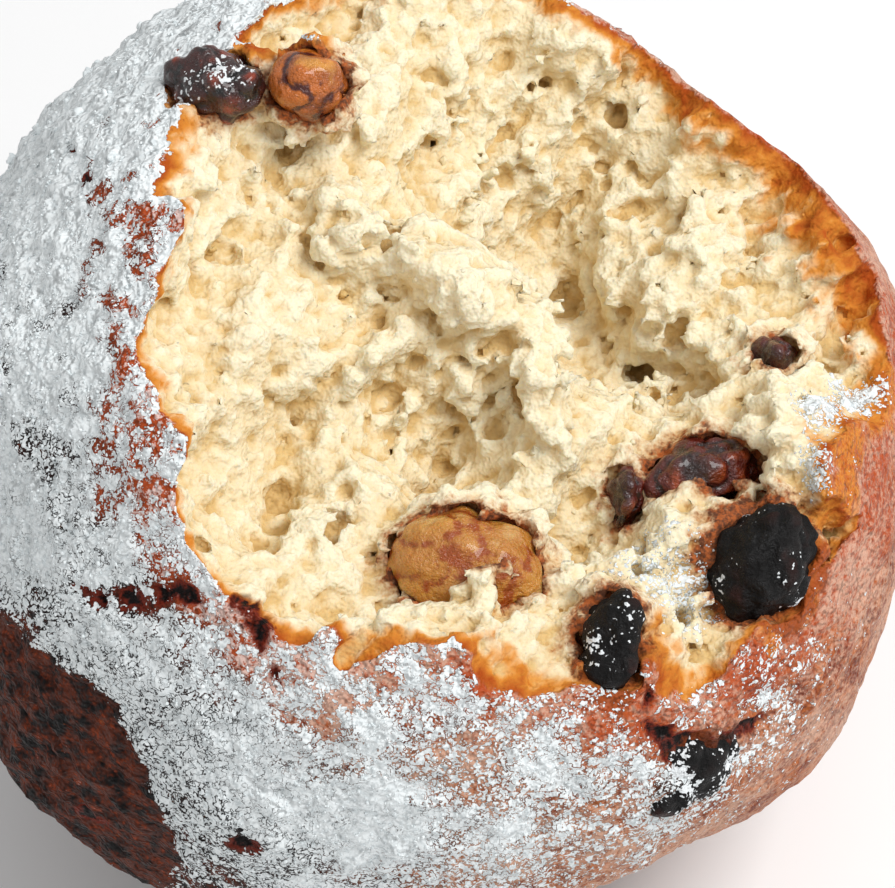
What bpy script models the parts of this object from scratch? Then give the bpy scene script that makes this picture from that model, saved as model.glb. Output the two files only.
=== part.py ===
"""An oliebol: a deep-fried ball of raisin dough, bitten open at its top.

The ball stands on a small flat spot at z = 0. The bite is laid out in its own
frame at the ball's centre: x to the right, y up the slope, z out of the bite.
Lengths in the tables are millimetres; the model itself is in metres.
"""
import math

import bmesh
import bpy
from mathutils import Matrix, Vector, noise

MM = 0.001

# Driving dimensions.
BALL_RADIUS = 39.0              # a good-sized oliebol, about 78 mm across
REST_DEPTH = 37.0               # the flat spot lies this far below the ball's centre
BALL_SHIFT = (0.0, -0.7)        # sets the middle of the bounding box on the origin
BITE_TILT = math.radians(42.0)  # how far the bite leans from straight up towards -Y
RIM_NORMAL = (0.32, 0.44, 0.84) # the bite's rim lies in a plane square to this
POCKET_GAP = 0.3                # air left between a raisin and the dough round it

# Uneven skin: (direction in the bite frame, height of the swelling, tightness).
LOBES = [
    ((0.62, 0.74, 0.05), -2.6, 14.0),
    ((0.42, -0.88, 0.10), -3.0, 22.0),
    ((-0.50, 0.85, 0.10), 0.9, 14.0),
    ((-0.80, -0.58, 0.10), 1.2, 14.0),
    ((0.82, -0.55, 0.15), 0.7, 14.0),
    ((0.90, 0.42, 0.00), 1.6, 25.0),
    ((0.30, 0.20, -0.93), 0.8, 10.0),
    ((-0.60, 0.10, -0.80), -0.9, 12.0),
]
SKIN_BUMP = 0.45                # height of the fine unevenness of the skin
SKIN_BUMP_SIZE = 9.0            # its width

# The mouthfuls taken out: name, centre, radii, turn about z in degrees.
SCOOPS = [
    ("bowl", (17.0, 23.0, 20.0), (20.0, 15.0, 16.5), -40.0),
    ("trough", (11.5, 14.5, 14.0), (12.0, 6.5, 12.0), -40.0),
    ("front_cavity", (0.5, 1.5, 21.0), (6.5, 9.5, 12.5), 25.0),
    ("middle", (11.0, -2.0, 30.0), (11.0, 8.0, 11.0), -25.0),
    ("left_slope", (-7.0, 4.0, 38.0), (13.0, 18.5, 15.0), 14.0),
    ("right_shelf", (26.0, 5.0, 27.0), (9.0, 9.0, 12.0), 20.0),
]
MOUTH_OFFSET = 30.0             # the wide shallow mouth, along the rim's normal
MOUTH_RADII = (36.0, 36.0, 9.0)

# Crumb left standing in the bite: name, centre, radii, turn about z in degrees.
LUMPS = [
    ("right_ledge", (23.0, 11.5, 3.0), (6.0, 8.0, 8.0), 20.0),
    ("right_lip", (30.5, 0.5, 13.5), (4.5, 5.5, 11.5), -30.0),
    ("front_lip", (23.0, -12.8, 23.5), (5.5, 3.4, 5.2), 20.0),
]
CRUMB_BUMP = 1.3                # how uneven the torn surface is
CRUMB_BUMP_SIZE = 5.0

# Raisins: name, centre, half sizes, turns about x, y, z in degrees, fineness.
RAISINS = [
    ("raisin_rim", (-14.8, 28.0, 21.4), (3.9, 2.5, 2.8), (-30.0, -20.0, -12.0), 3),
    ("sultana_rim", (-7.7, 28.0, 21.8), (2.8, 2.6, 2.6), (-30.0, 10.0, -25.0), 3),
    ("raisin_socket", (25.9, -7.5, 24.0), (3.5, 4.6, 3.4), (0.0, 35.0, -28.0), 3),
    ("raisin_inner", (22.0, -0.9, 17.9), (4.6, 2.4, 2.8), (0.0, 15.0, 14.0), 3),
    ("raisin_front", (19.7, -21.9, 23.6), (4.6, 4.2, 3.0), (25.0, 30.0, 15.0), 3),
    ("raisin_crack", (14.4, -13.4, 31.4), (2.0, 4.3, 2.6), (15.0, 15.0, -12.0), 3),
    ("sultana_front", (4.1, -7.9, 26.6), (5.9, 4.3, 4.2), (0.0, 0.0, -16.0), 3),
    ("raisin_sliver", (15.9, -2.9, 18.9), (1.2, 2.7, 2.4), (0.0, 0.0, -8.0), 2),
    ("raisin_wall", (27.6, 8.0, 12.6), (1.9, 1.5, 2.2), (0.0, 20.0, 20.0), 2),
    ("raisin_left", (-31.0, 6.7, 20.6), (2.2, 2.6, 2.2), (0.0, -55.0, 0.0), 2),
    ("raisin_low_left", (-11.8, -25.4, 25.6), (2.4, 1.9, 2.0), (40.0, -20.0, 0.0), 2),
    ("raisin_back_high", (6.0, 24.0, -29.5), (4.2, 3.0, 2.6), (30.0, 10.0, 20.0), 2),
    ("raisin_back_low", (-20.0, 2.0, -32.2), (3.4, 4.4, 2.6), (0.0, 30.0, 15.0), 2),
]
RAISIN_WRINKLE = 0.10           # depth of a raisin's folds, as a share of its size

VOXEL = 1.0                     # grain of the dough's surface
DOUGH_TRIANGLES = 4950

DARK_RAISIN = (0.020, 0.010, 0.012)
AMBER_RAISIN = (0.33, 0.13, 0.03)
DOUGH_COLOUR = (0.72, 0.50, 0.25)


def clear_scene():
    """Start from nothing."""
    for old in list(bpy.data.objects):
        bpy.data.objects.remove(old, do_unlink=True)


def make_collection(name):
    """A collection linked to the scene."""
    collection = bpy.data.collections.new(name)
    bpy.context.scene.collection.children.link(collection)
    return collection


def make_material(name, colour, roughness):
    """A plain Principled material."""
    material = bpy.data.materials.new(name)
    material.use_nodes = True
    shader = material.node_tree.nodes["Principled BSDF"]
    shader.inputs["Base Color"].default_value = (*colour, 1.0)
    shader.inputs["Roughness"].default_value = roughness
    shader.inputs["Metallic"].default_value = 0.0
    return material


def bite_frame():
    """The frame of the bite: at the ball's centre, leaning towards -Y."""
    centre = Vector((BALL_SHIFT[0], BALL_SHIFT[1], REST_DEPTH)) * MM
    return Matrix.Translation(centre) @ Matrix.Rotation(BITE_TILT, 4, "X")


def turn(degrees):
    """Turns about x, then y, then z, as one matrix."""
    x, y, z = (math.radians(angle) for angle in degrees)
    turns = Matrix.Rotation(z, 4, "Z") @ Matrix.Rotation(y, 4, "Y")
    return turns @ Matrix.Rotation(x, 4, "X")


def mesh_object(name, bm, collection, material=None):
    """Turn a bmesh into an object of the collection."""
    mesh = bpy.data.meshes.new(name)
    bm.to_mesh(mesh)
    bm.free()
    mesh.shade_smooth()
    made = bpy.data.objects.new(name, mesh)
    collection.objects.link(made)
    if material:
        mesh.materials.append(material)
    return made


def cutter_look(made):
    """Show a helper as a wire that never renders."""
    made.display_type = "WIRE"
    made.hide_render = True


def ball_radius(direction):
    """The uneven ball's radius in mm along a direction of the bite frame."""
    radius = BALL_RADIUS
    for towards, height, tightness in LOBES:
        away = 1.0 - direction.dot(Vector(towards).normalized())
        radius += height * math.exp(-tightness * away)
    fine = noise.noise(direction * BALL_RADIUS / SKIN_BUMP_SIZE)
    return radius + SKIN_BUMP * fine


def make_ball(collection, material):
    """The whole ball, before anyone took a bite."""
    bm = bmesh.new()
    bmesh.ops.create_icosphere(bm, subdivisions=6, radius=1.0)
    for vertex in bm.verts:
        direction = vertex.co.normalized()
        vertex.co = direction * ball_radius(direction) * MM
    bm.transform(bite_frame())
    return mesh_object("dough", bm, collection, material)


def make_blob(name, centre, radii, turns, bump, bump_size, collection):
    """An uneven ellipsoid: one mouthful, or one lump left standing."""
    bm = bmesh.new()
    bmesh.ops.create_icosphere(bm, subdivisions=4, radius=1.0)
    offset = Vector(centre)
    for vertex in bm.verts:
        direction = vertex.co.normalized()
        point = Vector(d * r for d, r in zip(direction, radii))
        point += direction * bump * noise.noise((point + offset) / bump_size)
        vertex.co = point * MM
    place = Matrix.Translation(Vector(centre) * MM) @ turns
    bm.transform(bite_frame() @ place)
    blob = mesh_object(name, bm, collection)
    cutter_look(blob)
    return blob


def add_boolean(target, helper, operation):
    """Cut the helper out of the target, or join it on."""
    boolean = target.modifiers.new(helper.name, "BOOLEAN")
    boolean.operation = operation
    boolean.solver = "EXACT"
    boolean.object = helper


def take_bites(dough, cutters):
    """Take out the wide mouth and each mouthful, and join the lumps left."""
    normal = Vector(RIM_NORMAL).normalized()
    lean = normal.to_track_quat("Z", "Y").to_matrix().to_4x4()
    mouth = make_blob("mouth", normal * MOUTH_OFFSET, MOUTH_RADII, lean,
                      CRUMB_BUMP, CRUMB_BUMP_SIZE, cutters)
    add_boolean(dough, mouth, "DIFFERENCE")
    for name, centre, radii, spin in SCOOPS:
        scoop = make_blob(name, centre, radii, turn((0.0, 0.0, spin)),
                          CRUMB_BUMP, CRUMB_BUMP_SIZE, cutters)
        add_boolean(dough, scoop, "DIFFERENCE")
    for name, centre, radii, spin in LUMPS:
        lump = make_blob(name, centre, radii, turn((0.0, 0.0, spin)),
                         CRUMB_BUMP, CRUMB_BUMP_SIZE, cutters)
        add_boolean(dough, lump, "UNION")


def weather(dough):
    """One even skin of small triangles, with the sharp edges worn off."""
    remesh = dough.modifiers.new("even_skin", "REMESH")
    remesh.mode = "VOXEL"
    remesh.voxel_size = VOXEL * MM
    wear = dough.modifiers.new("wear", "SMOOTH")
    wear.factor = 0.5
    wear.iterations = 2
    bpy.context.view_layer.update()
    graph = bpy.context.evaluated_depsgraph_get()
    count = len(dough.evaluated_get(graph).data.polygons) * 2
    thin = dough.modifiers.new("fewer_faces", "DECIMATE")
    thin.ratio = DOUGH_TRIANGLES / count


def make_raisin(name, centre, halves, turns, fineness, grow, collection, material=None):
    """A wrinkled raisin, or with grow its pocket in the dough."""
    bm = bmesh.new()
    bmesh.ops.create_icosphere(bm, subdivisions=fineness, radius=1.0)
    offset = Vector(centre)
    for vertex in bm.verts:
        direction = vertex.co.normalized()
        fold = noise.noise(direction * 2.2 + offset)
        size = 1.0 + RAISIN_WRINKLE * fold
        vertex.co = Vector(d * (h * size + grow) for d, h in zip(direction, halves)) * MM
    place = Matrix.Translation(offset * MM) @ turn(turns)
    bm.transform(bite_frame() @ place)
    return mesh_object(name, bm, collection, material)


def set_raisins(dough, parts, cutters, dark, amber):
    """Each raisin in a pocket of its own."""
    for name, centre, halves, turns, fineness in RAISINS:
        material = amber if name.startswith("sultana") else dark
        make_raisin(name, centre, halves, turns, fineness, 0.0, parts, material)
        pocket = make_raisin(name + "_pocket", centre, halves, turns, fineness,
                             POCKET_GAP, cutters)
        cutter_look(pocket)
        add_boolean(dough, pocket, "DIFFERENCE")


def flatten_base(dough, cutters):
    """Plane off the small flat spot that the ball stands on."""
    size = 3.0 * BALL_RADIUS * MM
    bm = bmesh.new()
    bmesh.ops.create_cube(bm, size=size)
    bmesh.ops.translate(bm, verts=bm.verts, vec=(0.0, 0.0, -size / 2.0))
    ground = mesh_object("ground", bm, cutters)
    cutter_look(ground)
    add_boolean(dough, ground, "DIFFERENCE")


def main():
    """Build the oliebol."""
    clear_scene()
    parts = make_collection("oliebol")
    cutters = make_collection("cutters")
    dough_look = make_material("dough", DOUGH_COLOUR, 0.75)
    dark = make_material("dark_raisin", DARK_RAISIN, 0.45)
    amber = make_material("amber_raisin", AMBER_RAISIN, 0.35)
    dough = make_ball(parts, dough_look)
    take_bites(dough, cutters)
    weather(dough)
    set_raisins(dough, parts, cutters, dark, amber)
    flatten_base(dough, cutters)


main()
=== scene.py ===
# %% [markdown]
# # A bitten oliebol
# An oliebol is a ball of raisin dough, deep-fried until a thin brown crust forms
# round a pale, spongy crumb, and dusted with powdered sugar. This one has been
# bitten open at the top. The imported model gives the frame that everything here
# is placed in: its box, its nodes and its one body.

# %% Load the frame
import math

import bpy
from mathutils import Matrix, Vector


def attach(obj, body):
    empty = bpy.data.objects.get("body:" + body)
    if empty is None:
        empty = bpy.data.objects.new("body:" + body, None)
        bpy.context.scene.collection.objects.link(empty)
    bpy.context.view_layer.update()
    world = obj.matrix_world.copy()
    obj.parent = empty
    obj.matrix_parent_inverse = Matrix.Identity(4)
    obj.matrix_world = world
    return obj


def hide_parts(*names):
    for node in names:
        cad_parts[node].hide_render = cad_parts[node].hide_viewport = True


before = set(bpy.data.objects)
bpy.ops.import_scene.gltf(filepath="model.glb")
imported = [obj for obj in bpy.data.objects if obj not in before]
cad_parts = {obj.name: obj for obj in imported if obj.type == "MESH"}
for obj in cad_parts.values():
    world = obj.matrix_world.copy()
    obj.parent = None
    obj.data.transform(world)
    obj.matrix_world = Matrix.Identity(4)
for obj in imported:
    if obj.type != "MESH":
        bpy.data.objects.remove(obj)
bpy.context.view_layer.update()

# %% [markdown]
# ## Sums inside node trees
# Geometry Nodes and shaders both work with fields: numbers that differ from
# point to point. A formula takes many small Math nodes, so this cell makes a
# `Wire` that understands + - * / and builds those nodes by itself. All helpers
# put their nodes into the tree that was opened last, so that the trees below
# can be read as formulas.

# %% Wires
opened = {"tree": None}


class Wire:
    """An output socket that can be used in a sum."""

    def __init__(self, socket):
        self.socket = socket

    def __add__(self, other):
        return calc("ADD", self, other)

    def __sub__(self, other):
        return calc("SUBTRACT", self, other)

    def __rsub__(self, other):
        return calc("SUBTRACT", other, self)

    def __mul__(self, other):
        return calc("MULTIPLY", self, other)

    def __truediv__(self, other):
        return calc("DIVIDE", self, other)


def put(socket, value):
    """Link a wire to an input, or fill the input in."""
    if isinstance(value, Wire):
        opened["tree"].links.new(value.socket, socket)
    else:
        socket.default_value = value


def add_node(kind, values=None, **settings):
    """A new node with its settings, and its inputs linked or filled in by name or number."""
    node = opened["tree"].nodes.new(kind)
    for name, setting in settings.items():
        setattr(node, name, setting)
    for name, value in (values or {}).items():
        put(node.inputs[name], value)
    return node


def made(kind, values=None, **settings):
    """The first output of a new node."""
    return Wire(add_node(kind, values, **settings).outputs[0])


def calc(operation, *values):
    """One Math node."""
    return made("ShaderNodeMath", dict(enumerate(values)), operation=operation)


print("wires ready")

# %% [markdown]
# ## Vectors, ramps and noise
# Three helpers do most of the work. A ramp turns one number smoothly into
# another, like a brush with a soft edge. Clouds are Noise texture brought to a
# middle of zero, so that adding them makes a surface rough without making it
# bigger. The seed only moves the noise, so every use gets its own pattern.

# %% Vectors, ramps and noise
SEED_STEP = (13.7, 7.3, 3.1)


def vector(operation, *values):
    """One Vector Math node."""
    node = add_node("ShaderNodeVectorMath", dict(enumerate(values)), operation=operation)
    is_number = operation in ("LENGTH", "DOT_PRODUCT", "DISTANCE")
    return Wire(node.outputs["Value" if is_number else "Vector"])


def scaled(wire, factor):
    """A vector times a number."""
    return made("ShaderNodeVectorMath", {0: wire, "Scale": factor}, operation="SCALE")


def ramp(value, low, high, start=0.0, end=1.0):
    """Start below low, end above high, and a smooth change between them."""
    values = {0: value, 1: low, 2: high, 3: start, 4: end}
    return made("ShaderNodeMapRange", values, interpolation_type="SMOOTHSTEP")


def clouds(place, size, seed=0.0, detail=2.0, rough=0.5):
    """Soft noise round zero, at most -1 to 1, with lumps about as wide as size."""
    moved = vector("ADD", place, tuple(seed * step for step in SEED_STEP))
    values = {"Vector": moved, "Scale": 1.0 / size, "Detail": detail, "Roughness": rough}
    return made("ShaderNodeTexNoise", values) * 2.0 - 1.0


def between(value, low, high):
    """A number held between two others."""
    return calc("MINIMUM", calc("MAXIMUM", value, low), high)


def magnitude(wire):
    """A number without its sign, which turns waves into sharp valleys with round tops."""
    return calc("ABSOLUTE", wire)


print("vectors, ramps and noise ready")

# %% [markdown]
# ## Sizes
# The ball and the mouthfuls are the same as in the frame's solids, in
# millimetres. The bite has its own frame at the ball's centre: x to the right,
# y up the slope, z out of the bite. It leans 42 degrees from straight up.

# %% Sizes of the ball and the bite
MM = 0.001
BALL_RADIUS = 39.0
REST_DEPTH = 37.0
BALL_CENTRE = Vector((0.0, -0.7, REST_DEPTH)) * MM
BITE_TILT = math.radians(42.0)
UP_IN_BITE = (0.0, math.sin(BITE_TILT), math.cos(BITE_TILT))
RIM_NORMAL = Vector((0.32, 0.44, 0.84)).normalized()
bite_to_world = Matrix.Translation(BALL_CENTRE) @ Matrix.Rotation(BITE_TILT, 4, "X")

# Swellings and dents of the skin: direction, height, tightness.
LOBES = [
    ((0.62, 0.74, 0.05), -2.6, 14.0),
    ((0.42, -0.88, 0.10), -3.0, 22.0),
    ((-0.50, 0.85, 0.10), 0.9, 14.0),
    ((-0.80, -0.58, 0.10), 1.2, 14.0),
    ((0.82, -0.55, 0.15), 0.7, 14.0),
    ((0.90, 0.42, 0.00), 1.6, 25.0),
    ((0.30, 0.20, -0.93), 0.8, 10.0),
    ((-0.60, 0.10, -0.80), -0.9, 12.0),
]

# Mouthfuls taken out: centre, radii, turn about z in degrees.
SCOOPS = [
    ((17.0, 23.0, 20.0), (20.0, 15.0, 16.5), -40.0),
    ((12.5, 13.5, 13.0), (12.5, 6.5, 12.0), -40.0),
    ((1.6, 2.5, 26.5), (6.4, 9.0, 9.5), 12.0),
    ((7.5, 3.5, 27.5), (7.5, 8.5, 9.5), -35.0),
    ((11.0, -2.0, 30.0), (11.0, 8.0, 11.0), -25.0),
    ((-5.6, 4.0, 38.0), (13.0, 18.5, 15.0), 5.0),
    ((26.0, 5.0, 27.0), (9.0, 9.0, 12.0), 20.0),
    ((18.8, -11.0, 34.2), (4.6, 5.0, 3.6), 0.0),
]
MOUTH_OFFSET = 30.0
MOUTH_RADII = (36.0, 36.0, 9.0)

# Crumb left standing: centre, radii, turn about z in degrees.
LUMPS = [
    ((23.0, 11.5, 3.0), (6.0, 8.0, 8.0), 20.0),
    ((30.5, 0.5, 13.5), (4.5, 5.5, 11.5), -30.0),
    ((23.0, -12.8, 23.5), (5.5, 3.4, 5.2), 20.0),
    ((2.5, 12.6, 17.5), (13.5, 3.8, 6.0), -40.0),
    ((15.0, -12.5, 26.8), (6.0, 5.0, 4.0), 0.0),
    ((-21.0, 9.5, 30.0), (3.4, 6.5, 6.0), 0.0),
    ((-19.6, 15.8, 27.0), (3.8, 4.6, 6.0), 0.0),
    ((-5.5, -13.4, 32.0), (8.5, 2.8, 5.0), 0.0),
]

# Waves that move places about: length and reach, in mm.
LONG_WAVES = ((13.0, 1.2), (5.5, 0.45))
SHORT_WAVES = ((4.3, 0.6), (1.9, 0.22))
SOFT_JOIN = 2.0
print("ball centre in the world:", tuple(BALL_CENTRE))

# %% [markdown]
# ## The dough as fields of distances
# Torn crumb is hard to build from faces, since it has lumps, holes and
# overhangs at every size. A distance field is easier: one number for every
# point in space, that tells how far the nearest surface is. The ball is a
# radius minus a length, each mouthful is an ellipsoid, and noise added to the
# field makes the surface rough without ever breaking it open.

# %% Field of the ball
def bump_towards(direction, towards, tightness):
    """1 in one direction, and fading away round it."""
    towards = tuple(Vector(towards).normalized())
    away = 1.0 - vector("DOT_PRODUCT", direction, towards)
    return calc("EXPONENT", away * -tightness)


def with_bumps(direction, bumps, total=0.0):
    """A number plus bumps, each with a direction, a height and a tightness."""
    for towards, height, tightness in bumps:
        total = bump_towards(direction, towards, tightness) * height + total
    return total


def field_radius(direction):
    """How far the skin is from the centre in each direction, before its fine relief."""
    radius = clouds(scaled(direction, BALL_RADIUS), 9.0, seed=1.0) * 0.9 + BALL_RADIUS
    return with_bumps(direction, LOBES, radius)


print("bumps and dents of the skin:", len(LOBES))

# %% [markdown]
# ## The mouthfuls
# One bite is never a clean cut: teeth leave a wide mouth with deeper scoops in
# it, and lumps of crumb stay behind. Smooth Minimum joins the scoops like soft
# clay, and Smooth Maximum with a turned sign puts the lumps back. Slow waves
# push every place about first, so that nothing looks like an ellipsoid.

# %% Field of the bite
def field_ellipsoid(place, centre, radii):
    """About how far a point is outside an ellipsoid."""
    offset = vector("SUBTRACT", place, tuple(centre))
    near = vector("LENGTH", vector("DIVIDE", offset, tuple(radii)))
    squares = tuple(radius * radius for radius in radii)
    slope = vector("LENGTH", vector("DIVIDE", offset, squares))
    return near * (near - 1.0) / slope


def field_turned(place, centre, radii, degrees):
    """The same for an ellipsoid turned about z."""
    values = {"Vector": place, "Center": tuple(centre), "Angle": -math.radians(degrees)}
    turned = made("ShaderNodeVectorRotate", values, rotation_type="Z_AXIS")
    return field_ellipsoid(turned, centre, radii)


def field_mouth(place):
    """The wide shallow mouth, whose axis is the rim's normal."""
    lean = RIM_NORMAL.to_track_quat("Z", "Y").inverted().to_euler("XYZ")
    values = {"Vector": place, "Rotation": tuple(lean)}
    turned = made("ShaderNodeVectorRotate", values, rotation_type="EULER_XYZ")
    return field_ellipsoid(turned, (0.0, 0.0, MOUTH_OFFSET), MOUTH_RADII)


def field_sway(place, waves):
    """The place pushed about by waves of some lengths, so that nothing stays a true ellipsoid."""
    for length, reach in waves:
        parts = add_node("ShaderNodeSeparateXYZ", {0: place}).outputs
        x, y, z = (Wire(part) for part in parts)
        turned = made("ShaderNodeCombineXYZ", {0: y + z * 0.6, 1: z + x * 0.7, 2: x - y * 0.5})
        wave = vector("SINE", scaled(turned, 2.0 * math.pi / length))
        place = vector("ADD", place, scaled(wave, reach))
    return place


def field_air(place):
    """How far a point is from the air of the bite: negative in the air."""
    place = field_sway(place, LONG_WAVES)
    air = field_mouth(place)
    for centre, radii, degrees in SCOOPS:
        scoop = field_turned(place, centre, radii, degrees)
        air = calc("SMOOTH_MIN", air, scoop, SOFT_JOIN)
    for centre, radii, degrees in LUMPS:
        lump = field_turned(place, centre, radii, degrees)
        air = calc("SMOOTH_MAX", air, lump * -1.0, SOFT_JOIN)
    return air


print("mouthfuls:", len(SCOOPS) + 1)

# %% [markdown]
# ## Trees with named inputs
# Every Geometry Nodes tree below starts and ends in the same way: named inputs
# for its sizes, and Realize Instances with Set Material at the end, since an
# export knows no instances. Doing that in two helpers keeps the trees short.

# %% Trees and what they take
def new_tree(name, numbers, takes_mesh=False):
    """Open an empty Geometry Nodes tree with named inputs, and give these as wires."""
    tree = bpy.data.node_groups.new(name, "GeometryNodeTree")
    opened["tree"] = tree
    tree.interface.new_socket("Geometry", in_out="OUTPUT", socket_type="NodeSocketGeometry")
    if takes_mesh:
        tree.interface.new_socket("Geometry", in_out="INPUT", socket_type="NodeSocketGeometry")
    for label, value in numbers.items():
        socket = tree.interface.new_socket(label, in_out="INPUT", socket_type="NodeSocketFloat")
        socket.default_value = value
    tree.interface.new_socket("Material", in_out="INPUT", socket_type="NodeSocketMaterial")
    group = tree.nodes.new("NodeGroupInput")
    return {socket.name: Wire(socket) for socket in group.outputs if socket.name}


def close_tree(mesh, material):
    """Realize Instances, Set Material and the tree's output."""
    realized = made("GeometryNodeRealizeInstances", {"Geometry": mesh})
    coloured = made("GeometryNodeSetMaterial", {"Geometry": realized, "Material": material})
    add_node("NodeGroupOutput", {0: coloured})
    return opened["tree"]


def store(mesh, **fields):
    """Keep fields on the mesh's points under their names, for the materials."""
    for name, value in fields.items():
        values = {"Geometry": mesh, "Name": name, "Value": value}
        mesh = made("GeometryNodeStoreNamedAttribute", values, data_type="FLOAT", domain="POINT")
    return mesh


def push(mesh, offset):
    """Move each point of a mesh by a vector."""
    return made("GeometryNodeSetPosition", {"Geometry": mesh, "Offset": offset})


def biggest_island(mesh):
    """Drop closed bubbles and loose scraps, so that one closed skin is left."""
    island = made("GeometryNodeInputMeshIsland")
    counted = add_node("GeometryNodeAccumulateField", {"Value": 1.0, "Group ID": island},
                       data_type="FLOAT", domain="POINT")
    size = Wire(counted.outputs["Total"])
    largest = add_node("GeometryNodeAttributeStatistic", {"Geometry": mesh, 2: size},
                       data_type="FLOAT", domain="POINT")
    smaller = calc("LESS_THAN", size, Wire(largest.outputs["Max"]) - 0.5)
    return made("GeometryNodeDeleteGeometry", {"Geometry": mesh, "Selection": smaller},
                domain="POINT")


print("tree helpers ready")

# %% [markdown]
# ## Where the fruit sits
# Fruit shapes the dough round it: it holds on to crumb, lifts the crust and
# stains its surroundings with juice. So the middle and the half sizes of each
# fruit are measured on its solid in the frame, along the bite's own axes. Five
# lie in the crust, and the others in the torn crumb, some deeper than the rest.

# %% Where the fruit sits
def place_of_fruit(node):
    """The centre and the half sizes of a node's mesh in the bite's frame, in mm."""
    back = bite_to_world.inverted() @ node.matrix_world
    points = [(back @ vertex.co) / MM for vertex in node.data.vertices]
    low = Vector(min(point[axis] for point in points) for axis in range(3))
    high = Vector(max(point[axis] for point in points) for axis in range(3))
    return (low + high) / 2.0, (high - low) / 2.0


FRUIT = {name: place_of_fruit(node) for name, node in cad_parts.items() if name != "dough"}
FRUIT_IN_CRUST = ["raisin_left", "raisin_low_left", "raisin_front", "raisin_back_high", "raisin_back_low"]
FRUIT_IN_CRUMB = [name for name in FRUIT if name not in FRUIT_IN_CRUST]
# How much dough lies over a fruit, as a share of its half height.
USUAL_COVER = 0.1
COVERED = {"sultana_front": 0.7, "raisin_crack": 0.5, "sultana_rim": 0.4, "raisin_inner": 0.3,
           "raisin_wall": 0.6}
print("fruit in the crumb:", FRUIT_IN_CRUMB)

# %% [markdown]
# ## Torn crumb
# Crumb is a foam, and a bite through it leaves soft hills, small curds, ragged
# flakes and round gas cells. Noise of three sizes gives the first three, and a
# Voronoi texture, which knows how far its nearest cell point is, gives the
# cells. Near the skin everything calms down, so the crust's edge stays one thin
# line. Fruit in the crumb gets a cradle of dough round it.

# %% Torn crumb
# The dough round a fruit: its wall and soft join in mm, and the share of the fruit's size it is open to.
CRADLE_WALL = 1.1
CRADLE_JOIN = 1.6
SNUG = 0.93


def field_cells(place, size, smallest, spread, seed):
    """How far a point is from the nearest round cell of the foam."""
    moved = vector("ADD", place, (seed, seed * 2.0, seed * 3.0))
    cells = add_node("ShaderNodeTexVoronoi", {"Vector": moved, "Scale": 1.0 / size})
    chance = made("ShaderNodeSeparateXYZ", {0: Wire(cells.outputs["Color"])})
    radius = (chance * chance * spread + smallest) * size
    return Wire(cells.outputs["Distance"]) * size - radius


def field_torn(place, air, depth, rough):
    """The field of the hollow with its lumps and cells: negative in the air."""
    right = made("ShaderNodeSeparateXYZ", {0: place})
    rough = rough * ramp(right, -18.0, 8.0, 0.75, 1.15)
    stiff = ramp(depth, 0.5, 3.0, 1.0, 0.0)
    hills = clouds(place, 6.5, seed=2.0, detail=2.0) * 2.6
    curds = magnitude(clouds(place, 3.2, seed=3.0, detail=1.0)) * 2.4
    flakes = clouds(place, 2.2, seed=4.0, detail=4.0, rough=0.72) * 2.0
    torn = air + (hills + curds + flakes - 0.5) * rough * (1.0 - stiff * 0.6)
    cells = field_cells(place, 4.4, 0.02, 0.44, 1.0)
    foam = cells + calc("MAXIMUM", air - 1.0, 0.0) * 1.5 + stiff
    torn = calc("SMOOTH_MIN", torn, foam, 0.15)
    loose = field_sway(place, SHORT_WAVES)
    for name in FRUIT_IN_CRUMB:
        centre, half = FRUIT[name]
        middle = centre - Vector((0.0, 0.0, half.z * 0.5))
        height = half.z * (0.5 + COVERED.get(name, USUAL_COVER))
        radii = (half.x + CRADLE_WALL, half.y + CRADLE_WALL, height)
        cradle = field_ellipsoid(loose, middle, radii) + flakes * 0.5
        torn = calc("SMOOTH_MAX", torn, cradle * -1.0, CRADLE_JOIN)
        torn = calc("MINIMUM", torn, field_ellipsoid(loose, centre, half * SNUG))
    return torn


print("cells and torn crumb ready")

# %% [markdown]
# ## From a field to a mesh
# A Volume Cube samples the field of the hollow in a block of small cubes, and
# Volume to Mesh wraps a closed skin round the air, which is later cut from the
# ball. The finer the voxel, the finer the crumb, and the more triangles: 0.44 mm
# shows every flake and stays under the two hundred thousand that one piece may
# have.

# %% Tree of the hollow
HOLLOW_LOW = (-38.0, -38.0, -2.0)
HOLLOW_HIGH = (41.5, 41.5, 41.5)
OUT_OF_SKIN = 2.0
SURFACE_DENSITY = 1.0


def tree_hollow():
    """Geometry Nodes tree: the air of the bite as a closed mesh, in the bite's frame."""
    inputs = new_tree("torn_hollow", {"Voxel": 0.4, "Roughness": 1.0})
    place = made("GeometryNodeInputPosition")
    direction = vector("NORMALIZE", place)
    depth = field_radius(direction) - vector("LENGTH", place)
    air = field_air(place)
    torn = field_torn(place, air, depth, inputs["Roughness"])
    inside = calc("MINIMUM", torn * -1.0, depth + OUT_OF_SKIN)
    counts = [calc("DIVIDE", high - low, inputs["Voxel"])
              for low, high in zip(HOLLOW_LOW, HOLLOW_HIGH)]
    cube = made("GeometryNodeVolumeCube",
                {"Density": inside + SURFACE_DENSITY, "Min": HOLLOW_LOW, "Max": HOLLOW_HIGH,
                 "Resolution X": counts[0], "Resolution Y": counts[1], "Resolution Z": counts[2]})
    mesh = made("GeometryNodeVolumeToMesh", {"Volume": cube, "Threshold": SURFACE_DENSITY})
    return close_tree(biggest_island(mesh), inputs["Material"])


print("block of the hollow:", HOLLOW_LOW, "to", HOLLOW_HIGH, "mm")

# %% [markdown]
# ## Running a tree
# A tree only works as a modifier on an object. The helper gives a tree to a
# holder, fills in its inputs, evaluates the object once and keeps the outcome
# as a plain mesh, so nothing has to be computed again later.

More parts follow.
